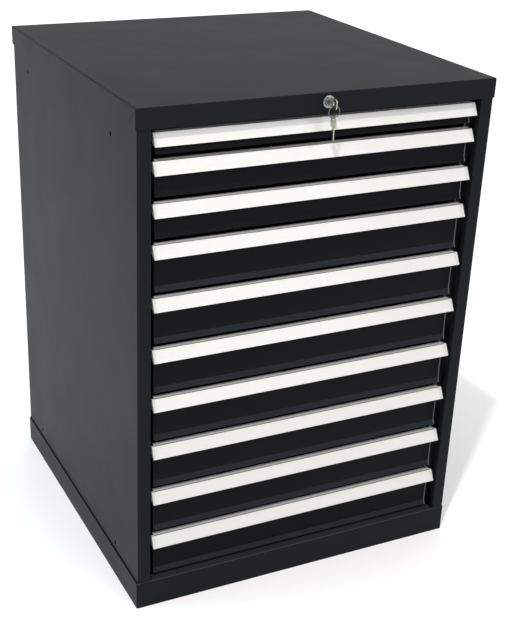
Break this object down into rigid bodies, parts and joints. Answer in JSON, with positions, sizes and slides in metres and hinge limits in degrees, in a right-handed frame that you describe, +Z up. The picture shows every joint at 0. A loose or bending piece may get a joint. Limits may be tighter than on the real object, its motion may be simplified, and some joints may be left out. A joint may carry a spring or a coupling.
{
  "type": "drawer tool cabinet",
  "caption": "Lockable steel tool cabinet on a plinth, with full-width drawers on telescopic runners, slanted aluminium handles and a central lock with its keys.",
  "frame": {"origin": "middle of the footprint at floor level, on the plinth's underside", "axes": "+Z up, +X to the right seen from the front, -Y the way the drawers open"},
  "size_m": [0.717, 0.7557, 1],
  "materials": {
    "body_paint": "satin powder coat",
    "drawer_paint": "satin powder coat",
    "handle_aluminium": "silver anodised",
    "zinc_steel": "zinc plated",
    "lock_chrome": "polished",
    "key_plating": "nickel plated",
    "ring_wire": "bright wire",
    "rubber": "matte"
  },
  "bodies": {
    "cabinet": {"left_side_panel": "body_paint", "right_side_panel": "body_paint", "back_panel": "body_paint", "top_cover": "body_paint", "plinth": "body_paint", "floor_pan": "body_paint", "top_rails": "body_paint", "uprights": "zinc_steel", "cabinet_rails": "zinc_steel", "runner_buffers": "rubber", "bar_guides": "zinc_steel", "panel_rivets": "zinc_steel", "lock_housing": "lock_chrome", "lock_nut": "zinc_steel"},
    "lock": {"lock_core": "lock_chrome", "lock_shaft": "zinc_steel", "key": "key_plating"},
    "locking_bar": {"locking_bar": "zinc_steel"},
    "key_ring": {"key_ring": "ring_wire"},
    "spare_key": {"spare_key": "key_plating"},
    "drawer_01": {"drawer_01_tray": "drawer_paint", "drawer_01_handle": "handle_aluminium", "drawer_01_fittings": "zinc_steel"},
    "runner_01": {"runner_01_members": "zinc_steel"},
    "drawer_02": {"drawer_02_tray": "drawer_paint", "drawer_02_handle": "handle_aluminium", "drawer_02_fittings": "zinc_steel"},
    "runner_02": {"runner_02_members": "zinc_steel"},
    "drawer_03": {"drawer_03_tray": "drawer_paint", "drawer_03_handle": "handle_aluminium", "drawer_03_fittings": "zinc_steel"},
    "runner_03": {"runner_03_members": "zinc_steel"},
    "drawer_04": {"drawer_04_tray": "drawer_paint", "drawer_04_handle": "handle_aluminium", "drawer_04_fittings": "zinc_steel"},
    "runner_04": {"runner_04_members": "zinc_steel"},
    "drawer_05": {"drawer_05_tray": "drawer_paint", "drawer_05_handle": "handle_aluminium", "drawer_05_fittings": "zinc_steel"},
    "runner_05": {"runner_05_members": "zinc_steel"},
    "drawer_06": {"drawer_06_tray": "drawer_paint", "drawer_06_handle": "handle_aluminium", "drawer_06_fittings": "zinc_steel"},
    "runner_06": {"runner_06_members": "zinc_steel"},
    "drawer_07": {"drawer_07_tray": "drawer_paint", "drawer_07_handle": "handle_aluminium", "drawer_07_fittings": "zinc_steel"},
    "runner_07": {"runner_07_members": "zinc_steel"},
    "drawer_08": {"drawer_08_tray": "drawer_paint", "drawer_08_handle": "handle_aluminium", "drawer_08_fittings": "zinc_steel"},
    "runner_08": {"runner_08_members": "zinc_steel"},
    "drawer_09": {"drawer_09_tray": "drawer_paint", "drawer_09_handle": "handle_aluminium", "drawer_09_fittings": "zinc_steel"},
    "runner_09": {"runner_09_members": "zinc_steel"},
    "drawer_10": {"drawer_10_tray": "drawer_paint", "drawer_10_handle": "handle_aluminium", "drawer_10_fittings": "zinc_steel"},
    "runner_10": {"runner_10_members": "zinc_steel"}
  },
  "joints": [
    {"name": "drawer_01_slide", "type": "slide", "parent": "cabinet", "child": "drawer_01", "axis": [0, -1, 0], "range_m": [0, 0.6]},
    {"name": "runner_01_slide", "type": "slide", "parent": "cabinet", "child": "runner_01", "axis": [0, -1, 0], "range_m": [0, 0.3]},
    {"name": "drawer_02_slide", "type": "slide", "parent": "cabinet", "child": "drawer_02", "axis": [0, -1, 0], "range_m": [0, 0.6]},
    {"name": "runner_02_slide", "type": "slide", "parent": "cabinet", "child": "runner_02", "axis": [0, -1, 0], "range_m": [0, 0.3]},
    {"name": "drawer_03_slide", "type": "slide", "parent": "cabinet", "child": "drawer_03", "axis": [0, -1, 0], "range_m": [0, 0.6]},
    {"name": "runner_03_slide", "type": "slide", "parent": "cabinet", "child": "runner_03", "axis": [0, -1, 0], "range_m": [0, 0.3]},
    {"name": "drawer_04_slide", "type": "slide", "parent": "cabinet", "child": "drawer_04", "axis": [0, -1, 0], "range_m": [0, 0.6]},
    {"name": "runner_04_slide", "type": "slide", "parent": "cabinet", "child": "runner_04", "axis": [0, -1, 0], "range_m": [0, 0.3]},
    {"name": "drawer_05_slide", "type": "slide", "parent": "cabinet", "child": "drawer_05", "axis": [0, -1, 0], "range_m": [0, 0.6]},
    {"name": "runner_05_slide", "type": "slide", "parent": "cabinet", "child": "runner_05", "axis": [0, -1, 0], "range_m": [0, 0.3]},
    {"name": "drawer_06_slide", "type": "slide", "parent": "cabinet", "child": "drawer_06", "axis": [0, -1, 0], "range_m": [0, 0.6]},
    {"name": "runner_06_slide", "type": "slide", "parent": "cabinet", "child": "runner_06", "axis": [0, -1, 0], "range_m": [0, 0.3]},
    {"name": "drawer_07_slide", "type": "slide", "parent": "cabinet", "child": "drawer_07", "axis": [0, -1, 0], "range_m": [0, 0.6]},
    {"name": "runner_07_slide", "type": "slide", "parent": "cabinet", "child": "runner_07", "axis": [0, -1, 0], "range_m": [0, 0.3]},
    {"name": "drawer_08_slide", "type": "slide", "parent": "cabinet", "child": "drawer_08", "axis": [0, -1, 0], "range_m": [0, 0.6]},
    {"name": "runner_08_slide", "type": "slide", "parent": "cabinet", "child": "runner_08", "axis": [0, -1, 0], "range_m": [0, 0.3]},
    {"name": "drawer_09_slide", "type": "slide", "parent": "cabinet", "child": "drawer_09", "axis": [0, -1, 0], "range_m": [0, 0.6]},
    {"name": "runner_09_slide", "type": "slide", "parent": "cabinet", "child": "runner_09", "axis": [0, -1, 0], "range_m": [0, 0.3]},
    {"name": "drawer_10_slide", "type": "slide", "parent": "cabinet", "child": "drawer_10", "axis": [0, -1, 0], "range_m": [0, 0.6]},
    {"name": "runner_10_slide", "type": "slide", "parent": "cabinet", "child": "runner_10", "axis": [0, -1, 0], "range_m": [0, 0.3]},
    {"name": "lock_turn", "type": "hinge", "parent": "cabinet", "child": "lock", "pos_m": [0, -0.35, 0.984], "axis": [0, 1, 0], "range_deg": [0, 90]},
    {"name": "locking_bar_slide", "type": "slide", "parent": "cabinet", "child": "locking_bar", "axis": [0, 0, 1], "range_m": [-0.009, 0]},
    {"name": "key_ring_hang", "type": "hinge", "parent": "lock", "child": "key_ring", "pos_m": [0, -0.3842, 0.9776], "axis": [0, 1, 0], "range_deg": [-90, 0]},
    {"name": "spare_key_swing", "type": "hinge", "parent": "key_ring", "child": "spare_key", "pos_m": [0, -0.3842, 0.9595], "axis": [1, 0, 0], "range_deg": [-80, 12]}
  ],
  "couplings": [
    {"joint": "runner_01_slide", "follows": "drawer_01_slide", "ratio": 0.5},
    {"joint": "runner_02_slide", "follows": "drawer_02_slide", "ratio": 0.5},
    {"joint": "runner_03_slide", "follows": "drawer_03_slide", "ratio": 0.5},
    {"joint": "runner_04_slide", "follows": "drawer_04_slide", "ratio": 0.5},
    {"joint": "runner_05_slide", "follows": "drawer_05_slide", "ratio": 0.5},
    {"joint": "runner_06_slide", "follows": "drawer_06_slide", "ratio": 0.5},
    {"joint": "runner_07_slide", "follows": "drawer_07_slide", "ratio": 0.5},
    {"joint": "runner_08_slide", "follows": "drawer_08_slide", "ratio": 0.5},
    {"joint": "runner_09_slide", "follows": "drawer_09_slide", "ratio": 0.5},
    {"joint": "runner_10_slide", "follows": "drawer_10_slide", "ratio": 0.5},
    {"joint": "lock_turn", "follows": "locking_bar_slide", "rad_per_m": -174.53},
    {"joint": "key_ring_hang", "follows": "locking_bar_slide", "rad_per_m": 174.53}
  ]
}
